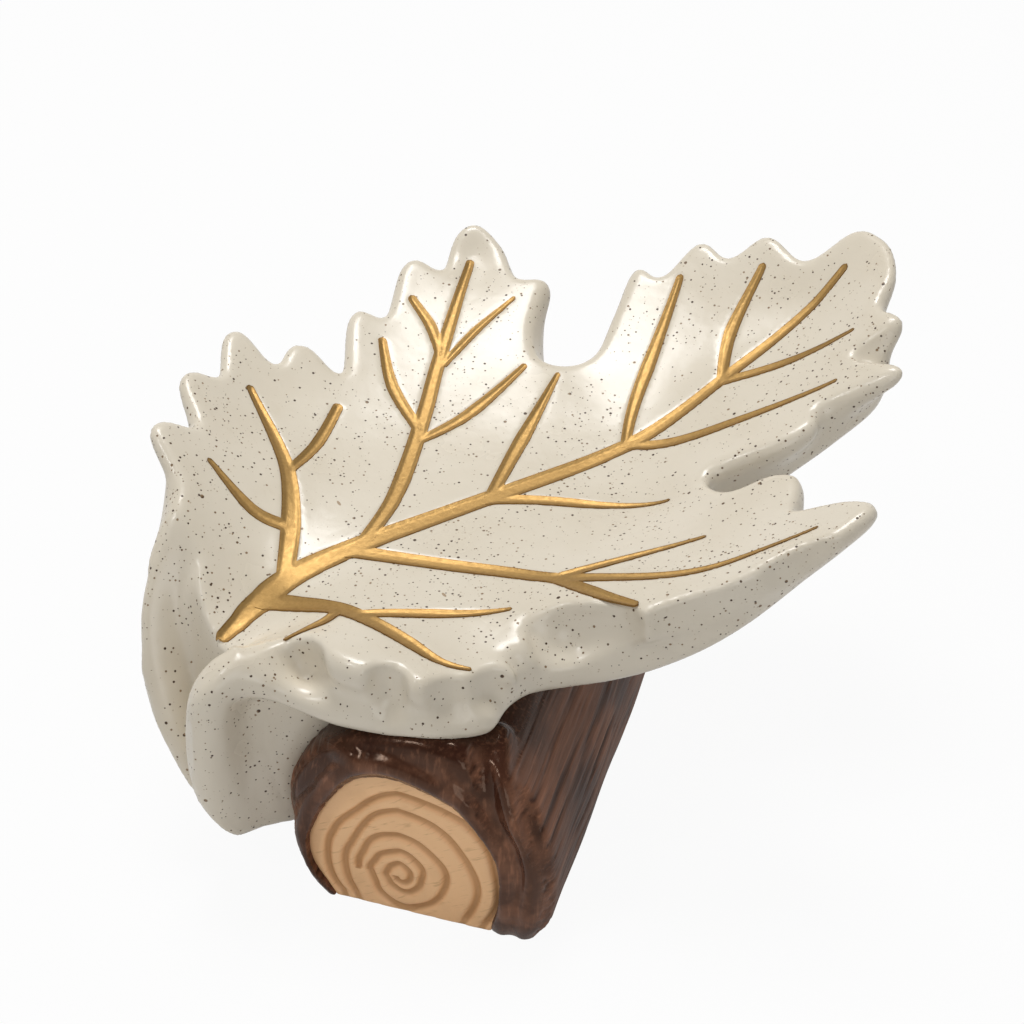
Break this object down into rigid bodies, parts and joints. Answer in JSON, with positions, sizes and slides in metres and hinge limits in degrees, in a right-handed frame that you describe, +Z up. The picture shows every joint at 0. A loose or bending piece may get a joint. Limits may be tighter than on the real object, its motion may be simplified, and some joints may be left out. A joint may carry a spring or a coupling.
{
  "type": "soap dish",
  "caption": "Self-draining soap dish: a lobed, cupped ceramic leaf with gold veins and a spout at its stem, fixed on a glazed half-log stand with end grain faces.",
  "frame": {"origin": "on the surface that the dish stands on, under the middle of its box", "axes": "+X along the leaf's midrib from the drain spout to the tip, +Y to the leaf's left, +Z up"},
  "size_m": [0.1619, 0.1333, 0.0884],
  "materials": {
    "speckled_cream_glaze": "glossy cream glaze with fine brown specks",
    "gold_lustre": "brushed gold lustre in carved grooves",
    "brown_bark_glaze": "very glossy dark brown glaze, thinner and redder on the bark ridges",
    "tan_end_grain": "satin tan with darker carved growth rings",
    "fired_slip": "matt, hidden"
  },
  "bodies": {
    "root": {"leaf_dish": "speckled_cream_glaze", "vein_midrib": "gold_lustre", "vein_left_basal": "gold_lustre", "vein_left_lateral": "gold_lustre", "vein_left_inner": "gold_lustre", "vein_left_upper": "gold_lustre", "vein_left_tip": "gold_lustre", "vein_right_tip": "gold_lustre", "vein_right_upper": "gold_lustre", "vein_right_inner": "gold_lustre", "vein_right_lateral": "gold_lustre", "vein_right_basal": "gold_lustre", "log_body": "brown_bark_glaze", "log_front_face": "tan_end_grain", "log_rear_face": "tan_end_grain", "slip_joint": "fired_slip"}
  },
  "joints": []
}
